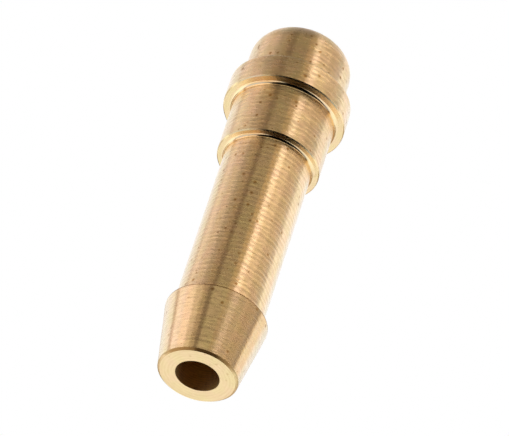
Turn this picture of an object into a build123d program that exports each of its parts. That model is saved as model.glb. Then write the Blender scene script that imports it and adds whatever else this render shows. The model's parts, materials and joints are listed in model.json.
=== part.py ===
from build123d import *

import os

# Brass hose tail, turned in one piece from round bar and drilled through.
# Z is the turning axis. The part stands on its nose at Z = 0, with the hose end up.
# All sizes are in millimetres. A height is measured along the radius from the step
# that it stands on, so that each shoulder keeps its width when a diameter changes.

# Bore, one drill from end to end
bore_diameter = 4.0

# Shank, the plain length that the hose clamp closes over, for a hose of 8 mm bore
shank_diameter = 8.0
shank_length = 18.15

# Barb, the cone at the tip that keeps the hose on
barb_height = 0.65
barb_length = 6.65
barb_edge_chamfer = 0.08

# Tip, the narrow end of the cone, which leads into the hose
tip_lead_in = 0.4
tip_chamfer = 0.2

# Guide, the plain step that the back bore of a union nut turns on
guide_height = 0.7
guide_length = 5.7
guide_front_chamfer = 0.1

# Collar, the flange that the nut pulls on
collar_height = 0.9
collar_length = 2.6
collar_back_chamfer = 0.25
collar_front_chamfer = 0.1

# Nose, the rounded end that seals in the cone of the mating connector
nose_shoulder = 0.95
nose_length = 5.6
nose_land = 0.25

# Tool nose radii left in the inside corners
nose_root_radius = 0.2
guide_root_radius = 0.35
shank_root_radius = 0.3
barb_root_radius = 0.2

# Radii of the turned surfaces
bore_r = bore_diameter / 2
shank_r = shank_diameter / 2
barb_r = shank_r + barb_height
tip_r = shank_r - tip_lead_in
guide_r = shank_r + guide_height
collar_r = guide_r + collar_height
nose_r = collar_r - nose_shoulder

# The nose is rounded as far as the flat land that is left round the bore
nose_radius = nose_r - bore_r - nose_land

# Heights of the shoulders above the end of the nose
collar_back = nose_length
collar_front = collar_back + collar_length
guide_front = collar_front + guide_length
barb_back = guide_front + shank_length
tip_face = barb_back + barb_length


with BuildPart() as hose_tail:
    # Half section, radius across and height up, traced from the nose to the tip
    with BuildSketch(Plane.XZ) as section:
        with BuildLine():
            Polyline(
                (0, 0),
                (nose_r, 0),
                (nose_r, collar_back),
                (collar_r, collar_back),
                (collar_r, collar_front),
                (guide_r, collar_front),
                (guide_r, guide_front),
                (shank_r, guide_front),
                (shank_r, barb_back),
                (barb_r, barb_back),
                (tip_r, tip_face),
                (0, tip_face),
                close=True,
            )
        make_face()

        def corner(radius, height):
            """The corner of the half section nearest to a radius and a height."""
            return section.vertices().sort_by_distance((radius, height))[0]

        # The rounded nose, which leaves the land that the part stands on
        fillet(corner(nose_r, 0), radius=nose_radius)

        # Outside edges, broken so that they don't cut the nut, the hose or a hand
        chamfer(corner(collar_r, collar_back), length=collar_back_chamfer)
        chamfer(corner(collar_r, collar_front), length=collar_front_chamfer)
        chamfer(corner(guide_r, guide_front), length=guide_front_chamfer)
        chamfer(corner(barb_r, barb_back), length=barb_edge_chamfer)
        chamfer(corner(tip_r, tip_face), length=tip_chamfer)

        # Inside corners
        fillet(corner(nose_r, collar_back), radius=nose_root_radius)
        fillet(corner(guide_r, collar_front), radius=guide_root_radius)
        fillet(corner(shank_r, guide_front), radius=shank_root_radius)
        fillet(corner(shank_r, barb_back), radius=barb_root_radius)
    revolve(axis=Axis.Z)

    # The bore is drilled from the hose end and comes out through the land
    with Locations(Location((0, 0, tip_face))):
        Hole(radius=bore_r)

hose_tail.part.label = "hose_tail"

os.makedirs("parts", exist_ok=True)
export_step(hose_tail.part, "parts/hose_tail.step")
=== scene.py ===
import json
import math
from typing import NamedTuple

import bmesh
import bpy
from bpy.props import FloatProperty, FloatVectorProperty, IntProperty, PointerProperty
from mathutils import Matrix, Vector


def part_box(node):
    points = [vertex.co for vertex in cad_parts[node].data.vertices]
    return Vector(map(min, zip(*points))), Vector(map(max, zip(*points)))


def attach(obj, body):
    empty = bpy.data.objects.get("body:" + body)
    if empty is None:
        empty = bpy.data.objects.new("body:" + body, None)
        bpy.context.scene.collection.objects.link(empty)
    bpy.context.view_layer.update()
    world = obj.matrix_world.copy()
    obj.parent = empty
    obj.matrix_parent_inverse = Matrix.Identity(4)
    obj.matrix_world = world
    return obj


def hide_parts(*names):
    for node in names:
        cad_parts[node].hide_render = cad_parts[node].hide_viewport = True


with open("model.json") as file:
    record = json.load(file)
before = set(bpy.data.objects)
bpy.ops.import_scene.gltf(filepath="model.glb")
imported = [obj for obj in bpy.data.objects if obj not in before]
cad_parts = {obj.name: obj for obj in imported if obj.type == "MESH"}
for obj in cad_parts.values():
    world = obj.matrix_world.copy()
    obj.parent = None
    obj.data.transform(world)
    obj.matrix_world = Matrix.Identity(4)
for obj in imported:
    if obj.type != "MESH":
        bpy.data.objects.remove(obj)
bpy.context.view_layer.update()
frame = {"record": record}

bl_info = {
    "name": "Turned hose tail",
    "version": (1, 0, 0),
    "blender": (4, 5, 0),
    "location": "3D View > Sidebar > Hose tail",
    "description": "Turns the brass hose tail from its half section and sets it on a pale studio floor",
    "category": "Object",
}

MM = 0.001
NODE = "hose_tail"
LOW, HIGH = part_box(NODE)
MOUNTS = {mount["name"]: mount for mount in frame["record"]["mounts"]}

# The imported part's round faces are made of flats, and the collar keeps this far inside its box
BOX_CLEARANCE = 0.001 * MM
WIDEST = min(HIGH.x, HIGH.y, -LOW.x, -LOW.y) - BOX_CLEARANCE


def mount_radius(name):
    """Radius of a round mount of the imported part, in metres."""
    return MOUNTS[name]["dims"]["r_mm"] * MM


def mount_height(name):
    """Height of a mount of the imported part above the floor, in metres."""
    return MOUNTS[name]["pos_m"][2]


# Sizes and looks that a user would change


def length(name, description, default):
    """A length in metres, shown in the scene's own units."""
    return FloatProperty(
        name=name,
        description=description,
        default=default,
        min=0.0,
        precision=5,
        unit="LENGTH",
        subtype="DISTANCE",
    )


class HoseTailSizes(bpy.types.PropertyGroup):
    bore_radius: length("Bore radius", "Radius of the hole from end to end", mount_radius("bore"))
    shank_radius: length("Shank radius", "Radius of the plain length that the hose sits on", 4.0 * MM)
    barb_radius: length("Barb radius", "Radius of the cone at its back edge", 4.65 * MM)
    tip_radius: length("Tip radius", "Radius of the cone at the hose end", 3.6 * MM)
    guide_radius: length("Guide radius", "Radius of the step the nut turns on", mount_radius("nut_guide"))
    collar_radius: length("Collar radius", "Radius of the flange that the nut pulls on", WIDEST)
    nose_radius: length("Nose radius", "Radius of the plain part of the nose", 4.65 * MM)
    nose_land: length("Nose land", "Width of the flat ring at the end of the nose", 0.25 * MM)
    collar_back: length("Collar back", "Height of the collar's back face", 5.6 * MM)
    collar_front: length("Collar front", "Height of the collar's front face", mount_height("nut_seat"))
    guide_front: length("Guide front", "Height of the guide's front face", 13.9 * MM)
    barb_back: length("Barb back", "Height of the barb's back face", 32.05 * MM)
    tip_face: length("Tip face", "Height of the face at the hose end", HIGH.z)
    steps: IntProperty(name="Steps", description="Faces round the axis", default=256, min=32, max=360)


class HoseTailFinish(bpy.types.PropertyGroup):
    brass: FloatVectorProperty(
        name="Brass",
        description="Colour of clean turned brass",
        default=(0.93, 0.65, 0.345),
        min=0.0,
        max=1.0,
        subtype="COLOR",
    )


class HoseTailStudio(bpy.types.PropertyGroup):
    camera_elevation: FloatProperty(
        name="Camera elevation",
        description="Angle that the camera looks down at the part",
        default=math.radians(38.61),
        subtype="ANGLE",
    )
    camera_roll: FloatProperty(
        name="Camera roll",
        description="Turn of the camera about its own line of sight",
        default=math.radians(-161.56),
        subtype="ANGLE",
    )
    camera_distance: length("Camera distance", "How far the tip is, along the line of sight", 0.5624)
    camera_lens: FloatProperty(name="Lens", description="Focal length in millimetres", default=459.7)


# Where the middle of the tip face lies in the photograph, in its own pixels
PHOTO_WIDTH = 509
PHOTO_HEIGHT = 436
TIP_ACROSS = 197.3
TIP_DOWN = 376.0
SENSOR_WIDTH = 36.0
NEAREST_SEEN = 0.01
FARTHEST_SEEN = 20.0

# Rounds and chamfers at the corners of the half section
NOSE_ROOT_ROUND = 0.2 * MM
COLLAR_BACK_ROUND = 0.25 * MM
GUIDE_ROOT_ROUND = 0.35 * MM
SHANK_ROOT_ROUND = 0.3 * MM
BARB_ROOT_ROUND = 0.2 * MM
BARB_EDGE_ROUND = 0.14 * MM
SHOULDER_CHAMFER = 0.1 * MM
TIP_CHAMFER = 0.2 * MM
NOSE_ROUND_FACES = 32
CORNER_WORK = (
    # corner, size of its round or chamfer, faces across it
    ("nose_root", NOSE_ROOT_ROUND, 6),
    ("collar_back", COLLAR_BACK_ROUND, 4),
    ("collar_front", SHOULDER_CHAMFER, 1),
    ("guide_root", GUIDE_ROOT_ROUND, 8),
    ("guide_front", SHOULDER_CHAMFER, 1),
    ("shank_root", SHANK_ROOT_ROUND, 8),
    ("barb_root", BARB_ROOT_ROUND, 6),
    ("barb_edge", BARB_EDGE_ROUND, 4),
    ("tip_edge", TIP_CHAMFER, 1),
)

# Corners nearer to each other than these, in metres, are taken as one
CORNER_REACH = 2e-6
MERGE_DISTANCE = 1e-7

# Edges sharper than this stay sharp
SMOOTH_ANGLE = math.radians(30)

# The upward part of a face's normal: past FLAT the face is square to the axis, between SLOPE and FLAT
# it is a chamfer, and under WALL it is a wall. The cone's own is more than CONE.
FLAT = 0.9
WALL = 0.5
SLOPE = 0.3
CONE = 0.1

# A face counts as in the bore out to this share of the bore's radius
BORE_REACH = 1.01


class Finish(NamedTuple):
    """How a tool left the brass, with lengths in millimetres."""

    feed: float
    depth: float
    roughness: float
    anisotropy: float = 1.0
    along: str = "up"
    even: float = 0.5
    dullness: float = 0.05
    pitting: float = 0.3
    tint: tuple = (1.0, 1.0, 1.0)


BROKEN_EDGE = Finish(feed=0.2, depth=0.001, roughness=0.5, anisotropy=0.5, dullness=0.3, pitting=0.5)

# The tool fed up the axis or across a face, and left a ring at each turn. Even is the share of the
# plain rings among the broken arcs, dullness darkens their hollows, and pitting is how much pits show.
FINISHES = {
    "turned_brass": Finish(feed=0.53, depth=0.0055, roughness=0.25, dullness=0.14, pitting=1.0),
    "cone_brass": Finish(feed=0.42, depth=0.0045, roughness=0.25, even=0.25, dullness=0.14, pitting=1.0),
    "step_brass": Finish(feed=0.53, depth=0.007, roughness=0.28, even=0.4, dullness=0.16, pitting=1.2),
    "nose_brass": Finish(feed=0.45, depth=0.0065, roughness=0.29, even=0.25, dullness=0.2, pitting=1.4),
    "faced_brass": Finish(
        along="across", feed=0.3, depth=0.001, roughness=0.25, anisotropy=0.9, tint=(0.99, 1.01, 0.94)
    ),
    "tip_brass": Finish(
        along="across", feed=0.3, depth=0.001, roughness=0.45, anisotropy=0.15, tint=(0.98, 1.01, 0.95)
    ),
    # The bore is tinted darker and browner: partly the duller drilled metal, partly painted shade inside
    # the hole
    "drilled_brass_painted_shade": Finish(
        feed=0.25, depth=0.004, roughness=0.5, anisotropy=0.3, dullness=0.2, tint=(0.8, 0.72, 0.48)
    ),
    "root_brass": Finish(feed=0.2, depth=0.0002, roughness=0.17, anisotropy=0.5, tint=(1.0, 1.0, 0.97)),
    "edge_brass": BROKEN_EDGE._replace(tint=(1.0, 1.0, 0.9)),
    # The barb's rounded back edge is tinted dark brown: painted shade, a thin dark line along the edge
    "barb_edge_painted_shade": BROKEN_EDGE._replace(tint=(0.5, 0.36, 0.22)),
}

BLACK = (0.0, 0.0, 0.0, 1.0)

# Lays the streak of the shine across the rings
QUARTER_TURN = 0.25

# Roughness on the rings' hollows and crests, as a share of the finish's own
HOLLOW_ROUGHNESS = 1.15
CREST_ROUGHNESS = 0.9

# How far the rings waver, in turns of feed, and how strong the arcs are that break them
WAVER = 0.15
LONG_ARCS = 0.4
SHORT_ARCS = 0.5

# Nearly all of a noise lies between these, and marks this high or low have the full tone
NOISE_LOW = 0.3
NOISE_HIGH = 0.7
FULL_TONE = 0.8

# Stain and pits as tints of the brass, and the noise at which the stain is all greener or all redder
STAIN_LOW = 0.35
STAIN_HIGH = 0.65
REDDER = (1.01, 0.96, 1.02)
GREENER = (0.98, 0.99, 0.95)
PIT_TINT = (0.5, 0.36, 0.22)
PIT_DEPTH = 0.004 * MM

# Share of the cells that have no pit, where a pit's floor ends and where its rim is, as shares of its
# size, and the least size to divide by
NO_PIT = 0.5
PIT_FLOOR = 0.4
PIT_RIM = 1.3
LEAST_SIZE = 1e-7

# Share of the pits that shows round the back of the part, and where the back starts and is full,
# as the cosine of the angle from the front
BACK_PITTING = 0.25
BACK_START = 0.3
BACK_FULL = -0.5

# Painted shade on the chamfer of the tip: arcs where it is darker, on the side towards the camera
CHAMFER_SHADE_ARCS = (
    # in degrees, the azimuth of the middle and half the width, at the ends and where it is full, and a tint
    (6, 65, 45, (0.6, 0.46, 0.28)),
    (-2, 20, 14, (0.3, 0.2, 0.1)),
)

# The floor and the tent round the part
FLOOR_RADIUS = 3.0
FLOOR_CORNERS = 128
TENT_RADIUS = 1.0
TENT_STEP = 2.5

# Tints of the cards. Brass throws back dim things warmer than bright ones, so each has its own.
COOL = (0.88, 1.0, 1.15)
CLEAR = (1.08, 1.0, 0.9)
WARM = (1.25, 1.0, 0.6)
ROSE = (1.25, 1.0, 0.9)
SOFT = (1.1, 1.0, 0.8)
FRESH = (0.95, 1.0, 1.2)
COLD = (0.8, 1.0, 1.5)
PALE = (0.83, 1.0, 1.25)
KEY = (1.05, 1.0, 1.05)
RED = (1.5, 1.0, 0.6)
GREEN = (0.99, 1.0, 0.77)
RUST = (2.0, 1.0, 0.4)

# The light round the part: bright cloth with cards in it. Azimuth is in degrees from the camera's side
# towards +X, and elevation from the floor up, both in whole steps of the tent. A later card hangs in
# front of an earlier one.
CARDS = (
    # what hangs there, azimuth from and to, elevation from and to, strength, tint
    ("cloth", 0, 360, -90, 90, 1.15, COOL),
    ("behind", 130, 230, 0, 45, 1.15, COOL),
    ("behind, left", 110, 145, 15, 45, 1.6, COOL),
    ("behind, low", 120, 240, -5, 17.5, 0.3, WARM),
    ("back, left, low", 120, 140, -60, -25, 1.1, COOL),
    ("back, left, high", 120, 150, -25, 0, 1.65, PALE),
    ("back, left edge", 110, 120, -60, 0, 1.4, COOL),
    ("back, low", 140, 180, -60, -30, 1.3, PALE),
    ("back, low, right", 180, 220, -60, -30, 1.45, PALE),
    ("back, high", 150, 190, -30, -5, 1.4, PALE),
    ("back, high, right", 190, 240, -30, -5, 1.35, PALE),
    ("back, right, low", 220, 260, -60, -30, 1.45, COOL),
    ("back, right, high", 240, 260, -30, -5, 0.95, CLEAR),
    ("back, dark band, soft", 150, 205, -30, 17.5, 0.5, WARM),
    ("back, dark band", 157.5, 195, -30, 17.5, 0.1, WARM),
    ("roof", 130, 230, 45, 90, 1.5, COOL),
    ("left, high", 50, 130, 45, 70, 0.85, CLEAR),
    ("top flag", -75, 50, 45, 90, 0.0, WARM),
    ("zenith", 0, 360, 80, 90, 0.0, WARM),
    ("under, far side", 110, 260, -90, -60, 1.1, COOL),
    ("under, near side", -100, 110, -90, -65, 0.12, WARM),
    ("right, low", -80, -40, -30, -10, 0.3, WARM),
    ("right, high", -80, -40, -10, 0, 0.2, CLEAR),
    ("right flag", -80, -40, 10, 45, 0.0, WARM),
    ("right, slit", -75, -45, 0, 10, 1.5, CLEAR),
    ("right, top", -95, -75, 20, 45, 0.55, COLD),
    ("right, top end", -130, -95, 15, 45, 1.4, COOL),
    ("right seam, bright side", -95, -90, -30, 20, 0.8, WARM),
    ("right seam", -90, -85, -30, 20, 0.05, RUST),
    ("right seam, soft", -85, -80, -30, 20, 0.25, WARM),
    ("left, top", 50, 65, 20, 45, 0.4, COLD),
    ("left, top end", 65, 110, 20, 45, 0.85, COLD),
    ("left, middle", 45, 105, -5, 20, 1.0, CLEAR),
    ("left, start", 50, 60, -30, -5, 0.9, CLEAR),
    ("left, bright", 60, 80, -30, -5, 1.5, KEY),
    ("left, bright end", 80, 105, -30, -5, 1.45, FRESH),
    ("left, low", 55, 75, -60, -30, 0.06, WARM),
    ("left, lower end", 75, 95, -60, -30, 0.2, ROSE),
    ("left, far end", 95, 110, -60, -30, 0.75, CLEAR),
    ("left seam, high", 100, 105, -25, 20, 0.2, RUST),
    ("left seam, low", 110, 115, -60, -25, 0.2, RUST),
    ("front flag, low", -5, 55, -60, -30, 0.11, RED),
    ("front flag", -40, 45, -5, 45, 0.0, WARM),
    ("front flag, top", -75, 50, 20, 45, 0.0, WARM),
    ("strip, right", -40, -20, -30, -10, 0.4, WARM),
    ("strip, middle", -20, -5, -30, -10, 0.68, SOFT),
    ("strip, green", -5, 25, -30, -10, 0.95, GREEN),
    ("strip, gap", 25, 35, -30, -10, 0.4, SOFT),
    ("strip, left", 35, 50, -30, -10, 0.9, SOFT),
    ("strip, upper", -10, 25, -10, 5, 0.25, SOFT),
    ("strip, upper left", 25, 45, -10, 5, 0.15, SOFT),
    ("key, side", -95, -60, -60, -30, 0.85, CLEAR),
    ("key, soft end", -60, -35, -60, -30, 1.3, CLEAR),
    ("key", -35, -20, -60, -30, 2.1, KEY),
    ("key, edge", -20, -5, -60, -30, 0.5, WARM),
)


# Edit mode helpers


def deselect_all():
    """Leaves nothing selected, because a new frame arrives selected."""
    if bpy.context.mode != "OBJECT":
        bpy.ops.object.mode_set(mode="OBJECT")
    bpy.ops.object.select_all(action="DESELECT")


def start_vertex(radius, height):
    """A new mesh of one vertex in the XZ plane, left in edit mode."""
    deselect_all()
    bpy.ops.mesh.primitive_plane_add(size=MM, location=(0, 0, 0))
    bpy.ops.object.mode_set(mode="EDIT")
    bpy.ops.mesh.select_mode(type="VERT")
    bpy.ops.mesh.select_all(action="SELECT")
    bpy.ops.mesh.merge(type="CENTER")
    bpy.ops.transform.translate(value=(radius, 0, height))
    return bpy.context.object


def trace(corners):
    """A flat face in the XZ plane, drawn from corner to corner by extrusion."""
    piece = start_vertex(*corners[0])
    for (from_r, from_z), (to_r, to_z) in zip(corners, corners[1:]):
        step = (to_r - from_r, 0, to_z - from_z)
        bpy.ops.mesh.extrude_region_move(TRANSFORM_OT_translate={"value": step})
    bpy.ops.mesh.select_all(action="SELECT")
    bpy.ops.mesh.edge_face_add()
    return piece


def pick_corner(piece, radius, height):
    """Selects the one vertex of the section at a radius and a height."""
    mesh = bmesh.from_edit_mesh(piece.data)
    bpy.ops.mesh.select_all(action="DESELECT")
    found = [v for v in mesh.verts if math.hypot(v.co.x - radius, v.co.z - height) < CORNER_REACH]
    if len(found) != 1:
        raise RuntimeError(f"{len(found)} corners of the section at {radius}, {height}")
    found[0].select_set(True)
    bmesh.update_edit_mesh(piece.data)


def work_corner(piece, corner, size, faces):
    """Cuts a corner of the section to a chamfer, which is one face, or to a round of more."""
    pick_corner(piece, *corner)
    bpy.ops.mesh.bevel(
        offset_type="OFFSET", offset=size, segments=faces, affect="VERTICES", profile=0.5
    )


def put_in_order(mesh):
    """Lists the faces by their corners, because a spin lists them in another order each run."""
    count = len(mesh.verts)

    def rank(face):
        corners = [corner.index for corner in face.verts]
        return min(corners) * count + max(corners)

    mesh.verts.index_update()
    mesh.faces.sort(key=rank)


def spin_section(piece, steps):
    """Spins the outline of the section round the axis and closes it."""
    bpy.ops.mesh.select_all(action="SELECT")
    bpy.ops.mesh.delete(type="ONLY_FACE")
    bpy.ops.mesh.select_all(action="SELECT")
    bpy.ops.mesh.spin(steps=steps, angle=math.tau, center=(0, 0, 0), axis=(0, 0, 1))
    bpy.ops.mesh.select_all(action="SELECT")
    bpy.ops.mesh.remove_doubles(threshold=MERGE_DISTANCE)
    bpy.ops.mesh.normals_make_consistent(inside=False)
    mesh = bmesh.from_edit_mesh(piece.data)
    open_edges = sum(len(edge.link_faces) != 2 for edge in mesh.edges)
    if open_edges:
        raise RuntimeError(f"the turned piece has {open_edges} open edges")
    put_in_order(mesh)
    bpy.ops.object.mode_set(mode="OBJECT")


# Node helpers

NODE_SPACING = 180


def new_group(name, inputs, outputs):
    """An empty shader node group. inputs maps a name to a default, outputs lists names."""
    group = bpy.data.node_groups.new(name, "ShaderNodeTree")
    for label, value in inputs.items():
        kind = "NodeSocketFloat" if isinstance(value, (int, float)) else "NodeSocketVector"
        socket = group.interface.new_socket(name=label, in_out="INPUT", socket_type=kind)
        if kind == "NodeSocketFloat":
            socket.default_value = value
    for label in outputs:
        group.interface.new_socket(name=label, in_out="OUTPUT", socket_type="NodeSocketFloat")
    return group


class Wiring:
    """Adds and joins nodes in one tree."""

    def __init__(self, tree):
        self.tree = tree
        self.across = 0

    def node(self, kind, **settings):
        node = self.tree.nodes.new(kind)
        node.location = (self.across, 0)
        self.across += NODE_SPACING
        for key, value in settings.items():
            setattr(node, key, value)
        return node

    def feed(self, socket, value):
        """Joins an output to a socket, or sets the socket's own value."""
        if isinstance(value, bpy.types.NodeSocket):
            self.tree.links.new(value, socket)
        else:
            socket.default_value = value

    def math(self, operation, *values):
        node = self.node("ShaderNodeMath", operation=operation)
        for socket, value in zip(node.inputs, values):
            self.feed(socket, value)
        return node.outputs[0]

    def combine(self, x, y, z):
        node = self.node("ShaderNodeCombineXYZ")
        for socket, value in zip(node.inputs, (x, y, z)):
            self.feed(socket, value)
        return node.outputs[0]

    def vector_math(self, operation, *values):
        node = self.node("ShaderNodeVectorMath", operation=operation)
        for socket, value in zip(node.inputs, values):
            self.feed(socket, value)
        return node.outputs

    def in_sizes(self, vector, size):
        """A place measured in sizes of a pattern."""
        return self.vector_math("DIVIDE", vector, self.combine(size, size, size))["Vector"]

    def noise(self, vector, detail):
        node = self.node("ShaderNodeTexNoise")
        self.feed(node.inputs["Vector"], vector)
        node.inputs["Scale"].default_value = 1.0
        node.inputs["Detail"].default_value = detail
        return node.outputs["Fac"]

    def ramp(self, value, from_low, from_high, to_low, to_high):
        """Carries a value from one range to another, held at both ends."""
        node = self.node("ShaderNodeMapRange", interpolation_type="LINEAR", clamp=True)
        for socket, number in zip(node.inputs, (value, from_low, from_high, to_low, to_high)):
            self.feed(socket, number)
        return node.outputs[0]

    def mix(self, factor, first, second):
        node = self.node("ShaderNodeMix", data_type="RGBA")
        self.feed(node.inputs["Factor"], factor)
        self.feed(node.inputs["A"], first)
        self.feed(node.inputs["B"], second)
        return node.outputs["Result"]


def new_material(name):
    """A node material with only its output and its Principled shader."""
    material = bpy.data.materials.new(name)
    material.use_nodes = True
    material.node_tree.nodes.clear()
    wiring = Wiring(material.node_tree)
    output = wiring.node("ShaderNodeOutputMaterial")
    shader = wiring.node("ShaderNodeBsdfPrincipled")
    wiring.feed(output.inputs["Surface"], shader.outputs["BSDF"])
    return material, wiring, shader


def turning_marks_group():
    """Rings that a lathe tool leaves at each turn of feed, wavy and broken into uneven arcs."""
    inputs = {"Position": None, "Along": 0.0, "Feed": 0.5 * MM, "Depth": 0.005 * MM, "Even": 0.5}
    group = new_group("turning_marks", inputs, ["Height", "Tone"])
    wiring = Wiring(group)
    given = wiring.node("NodeGroupInput").outputs
    ends = wiring.node("NodeGroupOutput").inputs
    apart = wiring.node("ShaderNodeSeparateXYZ")
    wiring.feed(apart.inputs[0], given["Position"])

    def arcs(turns, reach, width):
        """Noise from -1 to 1, drawn out round the axis into arcs some turns of feed wide."""
        x = wiring.math("DIVIDE", apart.outputs["X"], reach)
        y = wiring.math("DIVIDE", apart.outputs["Y"], reach)
        along = wiring.math("DIVIDE", turns, width)
        noise = wiring.noise(wiring.combine(x, y, along), detail=1.0)
        return wiring.ramp(noise, NOISE_LOW, NOISE_HIGH, -1.0, 1.0)

    straight = wiring.math("DIVIDE", given["Along"], given["Feed"])
    waver = wiring.math("MULTIPLY", arcs(straight, reach=1.5 * MM, width=1.5), WAVER)
    turns = wiring.math("ADD", straight, waver)
    rings = wiring.math("SINE", wiring.math("MULTIPLY", turns, math.tau))
    marks = wiring.math("MULTIPLY", rings, given["Even"])
    marks = wiring.math("MULTIPLY_ADD", arcs(turns, reach=2.0 * MM, width=0.6), LONG_ARCS, marks)
    marks = wiring.math("MULTIPLY_ADD", arcs(turns, reach=0.5 * MM, width=0.35), SHORT_ARCS, marks)
    wiring.feed(ends["Height"], wiring.math("MULTIPLY", marks, given["Depth"]))
    wiring.feed(ends["Tone"], wiring.ramp(marks, -FULL_TONE, FULL_TONE, 0.0, 1.0))
    return group


def stain_group():
    """Soft patches where the metal looks redder or greener, as thin tarnish does."""
    group = new_group("stain", {"Position": None, "Size": 1.2 * MM}, ["Mask"])
    wiring = Wiring(group)
    given = wiring.node("NodeGroupInput").outputs
    ends = wiring.node("NodeGroupOutput").inputs
    noise = wiring.noise(wiring.in_sizes(given["Position"], given["Size"]), detail=3.0)
    wiring.feed(ends["Mask"], wiring.ramp(noise, STAIN_LOW, STAIN_HIGH, 0.0, 1.0))
    return group


def pits_group():
    """Small dark pits of uneven size, scattered one to a cell, with none in half of the cells."""
    group = new_group("pits", {"Position": None, "Spacing": 0.6 * MM, "Size": 0.18 * MM}, ["Mask"])
    wiring = Wiring(group)
    given = wiring.node("NodeGroupInput").outputs
    ends = wiring.node("NodeGroupOutput").inputs
    cells = wiring.node("ShaderNodeTexVoronoi", feature="F1")
    wiring.feed(cells.inputs["Vector"], wiring.in_sizes(given["Position"], given["Spacing"]))
    cells.inputs["Scale"].default_value = 1.0
    reach = wiring.math("MULTIPLY", cells.outputs["Distance"], given["Spacing"])
    draw = wiring.node("ShaderNodeSeparateXYZ")
    wiring.feed(draw.inputs[0], cells.outputs["Color"])
    size = wiring.math("MULTIPLY", given["Size"], wiring.ramp(draw.outputs["X"], NO_PIT, 1.0, 0.0, 1.0))
    share = wiring.math("DIVIDE", reach, wiring.math("ADD", size, LEAST_SIZE))
    wiring.feed(ends["Mask"], wiring.ramp(share, PIT_FLOOR, PIT_RIM, 1.0, 0.0))
    return group


def add_group(wiring, group, **values):
    """Places a node group in a material with its own values."""
    node = wiring.node("ShaderNodeGroup")
    node.node_tree = group
    for label, value in values.items():
        wiring.feed(node.inputs[label], value)
    return node.outputs


def off_axis(wiring, place):
    """Splits a place on the part into its vector off the axis and its height along it."""
    apart = wiring.node("ShaderNodeSeparateXYZ")
    wiring.feed(apart.inputs[0], place)
    return wiring.combine(apart.outputs["X"], apart.outputs["Y"], 0.0), apart.outputs["Z"]


def facing(wiring, place, azimuth):
    """How far a place on the part faces one way round: 1 towards the azimuth, -1 away from it."""
    outward = wiring.vector_math("NORMALIZE", off_axis(wiring, place)[0])["Vector"]
    towards = (math.sin(azimuth), -math.cos(azimuth), 0.0)
    return wiring.vector_math("DOT_PRODUCT", outward, towards)["Value"]


def tinted(colour, tint):
    """A colour times a tint, with its alpha."""
    return (*(channel * part for channel, part in zip(colour, tint)), 1.0)


def brass(name, metal, finish, groups):
    """The metal as one finish leaves it: rings, pits, stain and shine."""
    material, wiring, shader = new_material(name)
    place = wiring.node("ShaderNodeTexCoord").outputs["Object"]
    outward, height = off_axis(wiring, place)
    path = wiring.vector_math("LENGTH", outward)["Value"] if finish.along == "across" else height
    rings = add_group(
        wiring,
        groups["marks"],
        Position=place,
        Along=path,
        Feed=finish.feed * MM,
        Depth=finish.depth * MM,
        Even=finish.even,
    )
    pits = add_group(wiring, groups["pits"], Position=place)["Mask"]
    side = wiring.ramp(facing(wiring, place, 0.0), BACK_FULL, BACK_START, BACK_PITTING, 1.0)
    pits = wiring.math("MULTIPLY", wiring.math("MULTIPLY", pits, finish.pitting), side)
    stain = add_group(wiring, groups["stain"], Position=place)["Mask"]
    clean = tinted(metal, finish.tint)
    colour = wiring.mix(stain, tinted(clean, GREENER), tinted(clean, REDDER))
    colour = wiring.mix(wiring.ramp(rings["Tone"], 0.0, 1.0, finish.dullness, 0.0), colour, BLACK)
    wiring.feed(shader.inputs["Base Color"], wiring.mix(pits, colour, tinted(clean, PIT_TINT)))
    hollow = finish.roughness * HOLLOW_ROUGHNESS
    crest = finish.roughness * CREST_ROUGHNESS
    wiring.feed(shader.inputs["Roughness"], wiring.ramp(rings["Tone"], 0.0, 1.0, hollow, crest))
    bump = wiring.node("ShaderNodeBump")
    bump.inputs["Strength"].default_value = 1.0
    bump.inputs["Distance"].default_value = 1.0
    sunk = wiring.math("MULTIPLY", pits, -PIT_DEPTH)
    wiring.feed(bump.inputs["Height"], wiring.math("ADD", rings["Height"], sunk))
    wiring.feed(shader.inputs["Normal"], bump.outputs["Normal"])
    shader.inputs["Metallic"].default_value = 1.0
    shader.inputs["Anisotropic"].default_value = finish.anisotropy
    shader.inputs["Anisotropic Rotation"].default_value = QUARTER_TURN
    tangent = wiring.node("ShaderNodeTangent", direction_type="RADIAL", axis="Z")
    wiring.feed(shader.inputs["Tangent"], tangent.outputs["Tangent"])
    return material


def paint_shade_arc(material, metal, azimuth, start, full, tint):
    """Paints shade on a finish: darkens it in an arc round its azimuth, from where it starts to where it is
    full.
    """
    wiring = Wiring(material.node_tree)
    shader = material.node_tree.nodes["Principled BSDF"]
    place = wiring.node("ShaderNodeTexCoord").outputs["Object"]
    towards = facing(wiring, place, math.radians(azimuth))
    mask = wiring.ramp(towards, math.cos(math.radians(start)), math.cos(math.radians(full)), 0.0, 1.0)
    clean = shader.inputs["Base Color"].links[0].from_socket
    wiring.feed(shader.inputs["Base Color"], wiring.mix(mask, clean, tinted(metal, tint)))


# The hose tail


def section_corners(sizes):
    """Corners of the half section as radius and height, from the nose round to the tip."""
    return {
        "nose_bore": (sizes.bore_radius, 0.0),
        "nose_front": (sizes.nose_radius, 0.0),
        "nose_root": (sizes.nose_radius, sizes.collar_back),
        "collar_back": (sizes.collar_radius, sizes.collar_back),
        "collar_front": (sizes.collar_radius, sizes.collar_front),
        "guide_root": (sizes.guide_radius, sizes.collar_front),
        "guide_front": (sizes.guide_radius, sizes.guide_front),
        "shank_root": (sizes.shank_radius, sizes.guide_front),
        "barb_root": (sizes.shank_radius, sizes.barb_back),
        "barb_edge": (sizes.barb_radius, sizes.barb_back),
        "tip_edge": (sizes.tip_radius, sizes.tip_face),
        "tip_bore": (sizes.bore_radius, sizes.tip_face),
    }


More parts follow.
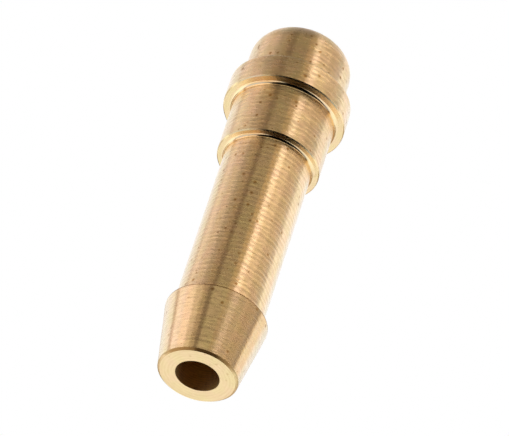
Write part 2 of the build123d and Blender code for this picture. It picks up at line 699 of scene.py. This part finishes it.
def turn_piece(sizes):
    """Traces the half section, works its corners and spins it into the piece."""
    corners = section_corners(sizes)
    piece = trace(list(corners.values()))
    nose_round = sizes.nose_radius - sizes.bore_radius - sizes.nose_land
    work_corner(piece, corners["nose_front"], nose_round, NOSE_ROUND_FACES)
    for name, size, faces in CORNER_WORK:
        work_corner(piece, corners[name], size, faces)
    spin_section(piece, sizes.steps)
    bpy.ops.object.shade_smooth_by_angle(angle=SMOOTH_ANGLE)
    piece.name = "hose_tail_turned"
    piece.data.name = piece.name
    weighted = piece.modifiers.new("Weighted normals", "WEIGHTED_NORMAL")
    weighted.keep_sharp = True
    bpy.ops.object.modifier_apply(modifier=weighted.name)
    return piece


def finish_at(middle, normal, sizes):
    """Name of the finish that a face has, from its middle and its normal."""
    radius = math.hypot(middle.x, middle.y)
    if radius < sizes.bore_radius * BORE_REACH and abs(normal.z) < WALL:
        return "drilled_brass_painted_shade"
    # The barb's rounded back edge takes the painted shade line
    at_barb_back = sizes.barb_back < middle.z < sizes.barb_back + BARB_EDGE_ROUND
    if at_barb_back and radius > sizes.barb_radius - BARB_EDGE_ROUND and -FLAT < normal.z < CONE:
        return "barb_edge_painted_shade"
    if middle.z > sizes.tip_face - TIP_CHAMFER and SLOPE < normal.z < FLAT:
        return "edge_brass"
    for shoulder in (sizes.collar_front, sizes.guide_front):
        if shoulder - SHOULDER_CHAMFER < middle.z < shoulder and SLOPE < normal.z < FLAT:
            return "faced_brass"
    roots = (
        (sizes.guide_radius, sizes.collar_front, GUIDE_ROOT_ROUND),
        (sizes.shank_radius, sizes.guide_front, SHANK_ROOT_ROUND),
    )
    for wall, shoulder, size in roots:
        if shoulder < middle.z < shoulder + size and radius < wall + size:
            return "root_brass"
    if abs(normal.z) > FLAT:
        return "tip_brass" if normal.z > 0 and middle.z > sizes.barb_back else "faced_brass"
    if middle.z < sizes.collar_back:
        return "nose_brass"
    if middle.z < sizes.guide_front:
        return "step_brass"
    return "cone_brass" if middle.z > sizes.barb_back else "turned_brass"


def finish_piece(piece, sizes, metal):
    """Gives each face of the piece its finish."""
    groups = {"marks": turning_marks_group(), "pits": pits_group(), "stain": stain_group()}
    for name, finish in FINISHES.items():
        piece.data.materials.append(brass(name, metal, finish, groups))
    # The tip chamfer's darker arcs are painted shade
    for arc in CHAMFER_SHADE_ARCS:
        paint_shade_arc(piece.data.materials["edge_brass"], metal, *arc)
    for face in piece.data.polygons:
        name = finish_at(face.center, face.normal, sizes)
        face.material_index = piece.data.materials.find(name)


class HOSETAIL_OT_turn(bpy.types.Operator):
    """Turns the hose tail from its half section and finishes it in brass"""

    bl_idname = "hosetail.turn"
    bl_label = "Turn the hose tail"

    def execute(self, context):
        sizes = context.scene.hose_tail_sizes
        piece = turn_piece(sizes)
        finish_piece(piece, sizes, context.scene.hose_tail_finish.brass)
        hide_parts(NODE)
        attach(piece, "root")
        return {"FINISHED"}


# Studio


def add_camera(studio):
    """Sets the camera so that the tip lands where the photograph has it."""
    elevation = studio.camera_elevation
    forward = Vector((0, math.cos(elevation), -math.sin(elevation)))
    level_up = Vector((0, math.sin(elevation), math.cos(elevation)))
    level_right = Vector((1, 0, 0))
    cosine = math.cos(studio.camera_roll)
    sine = math.sin(studio.camera_roll)
    right = cosine * level_right + sine * level_up
    up = cosine * level_up - sine * level_right
    pixel = studio.camera_distance * SENSOR_WIDTH / studio.camera_lens / PHOTO_WIDTH
    across = (TIP_ACROSS - PHOTO_WIDTH / 2) * pixel
    above = (PHOTO_HEIGHT / 2 - TIP_DOWN) * pixel
    tip = Vector((0, 0, HIGH.z))
    place = tip - right * across - up * above - forward * studio.camera_distance
    turn = Matrix((right, up, -forward)).transposed()
    deselect_all()
    bpy.ops.object.camera_add(location=place, rotation=turn.to_euler())
    camera = bpy.context.object
    camera.name = "photo_camera"
    camera.data.sensor_width = SENSOR_WIDTH
    camera.data.lens = studio.camera_lens
    camera.data.clip_start = NEAREST_SEEN
    camera.data.clip_end = FARTHEST_SEEN
    bpy.context.scene.camera = camera


def new_glow(name, attribute=None):
    """A material that only gives light, white or in the colours of an attribute."""
    material = bpy.data.materials.new(name)
    material.use_nodes = True
    material.node_tree.nodes.clear()
    wiring = Wiring(material.node_tree)
    output = wiring.node("ShaderNodeOutputMaterial")
    source = wiring.node("ShaderNodeEmission")
    wiring.feed(output.inputs["Surface"], source.outputs["Emission"])
    if attribute:
        painted = wiring.node("ShaderNodeAttribute", attribute_name=attribute)
        wiring.feed(source.inputs["Color"], painted.outputs["Color"])
    return material


def add_floor():
    """A white floor. The metal doesn't reflect it, so that the cards below the part still count."""
    deselect_all()
    bpy.ops.mesh.primitive_circle_add(
        vertices=FLOOR_CORNERS, radius=FLOOR_RADIUS, fill_type="NGON", location=(0, 0, 0)
    )
    floor = bpy.context.object
    floor.name = "floor"
    floor.data.materials.append(new_glow("white_floor"))
    floor.visible_glossy = False


def card_light(face):
    """The light of the last card that a face of the tent lies in."""
    azimuth = math.degrees(math.atan2(face.center.x, -face.center.y))
    elevation = math.degrees(math.asin(face.center.z / face.center.length))
    light = None
    for name, az_from, az_to, el_from, el_to, strength, tint in CARDS:
        if (azimuth - az_from) % 360 < az_to - az_from and el_from < elevation < el_to:
            light = Vector(tint) * strength
    return light


def add_tent():
    """A ball of bright cloth and cards round the part, which gives the metal its light and dark bands."""
    deselect_all()
    bpy.ops.mesh.primitive_uv_sphere_add(
        segments=int(360 / TENT_STEP),
        ring_count=int(180 / TENT_STEP),
        radius=TENT_RADIUS,
        location=(0, 0, 0),
    )
    tent = bpy.context.object
    tent.name = "light_tent"
    light = [Vector() for vertex in tent.data.vertices]
    faces = [0] * len(light)
    for face in tent.data.polygons:
        given = card_light(face)
        for corner in face.vertices:
            light[corner] += given
            faces[corner] += 1
    colours = tent.data.attributes.new("light", "FLOAT_COLOR", "POINT")
    for corner, total, count in zip(colours.data, light, faces):
        corner.color = (*(total / count), 1.0)
    tent.data.materials.append(new_glow("tent_light", "light"))
    tent.visible_camera = False


class HOSETAIL_OT_stage(bpy.types.Operator):
    """Sets the pale floor, the soft light and the camera round the hose tail"""

    bl_idname = "hosetail.stage"
    bl_label = "Set the stage"

    def execute(self, context):
        add_floor()
        add_tent()
        add_camera(context.scene.hose_tail_studio)
        scene = context.scene
        scene.view_settings.view_transform = "Standard"
        scene.view_settings.look = "None"
        world = bpy.data.worlds.new("white_studio")
        world.use_nodes = True
        world.node_tree.nodes["Background"].inputs["Color"].default_value = (1.0, 1.0, 1.0, 1.0)
        scene.world = world
        return {"FINISHED"}


class HOSETAIL_PT_sidebar(bpy.types.Panel):
    """Lists the operators and their sizes in the 3D view's sidebar"""

    bl_label = "Hose tail"
    bl_idname = "HOSETAIL_PT_sidebar"
    bl_space_type = "VIEW_3D"
    bl_region_type = "UI"
    bl_category = "Hose tail"

    def draw(self, context):
        scene = context.scene
        for group in (scene.hose_tail_sizes, scene.hose_tail_finish, scene.hose_tail_studio):
            box = self.layout.box()
            for name in group.bl_rna.properties.keys():
                if name not in {"rna_type", "name"}:
                    box.prop(group, name)
        self.layout.operator(HOSETAIL_OT_turn.bl_idname)
        self.layout.operator(HOSETAIL_OT_stage.bl_idname)


CLASSES = (
    HoseTailSizes,
    HoseTailFinish,
    HoseTailStudio,
    HOSETAIL_OT_turn,
    HOSETAIL_OT_stage,
    HOSETAIL_PT_sidebar,
)


def register():
    for cls in CLASSES:
        bpy.utils.register_class(cls)
    bpy.types.Scene.hose_tail_sizes = PointerProperty(type=HoseTailSizes)
    bpy.types.Scene.hose_tail_finish = PointerProperty(type=HoseTailFinish)
    bpy.types.Scene.hose_tail_studio = PointerProperty(type=HoseTailStudio)


def unregister():
    del bpy.types.Scene.hose_tail_studio
    del bpy.types.Scene.hose_tail_finish
    del bpy.types.Scene.hose_tail_sizes
    for cls in reversed(CLASSES):
        bpy.utils.unregister_class(cls)


def main():
    register()
    bpy.ops.hosetail.turn()
    bpy.ops.hosetail.stage()


if __name__ == "__main__":
    main()
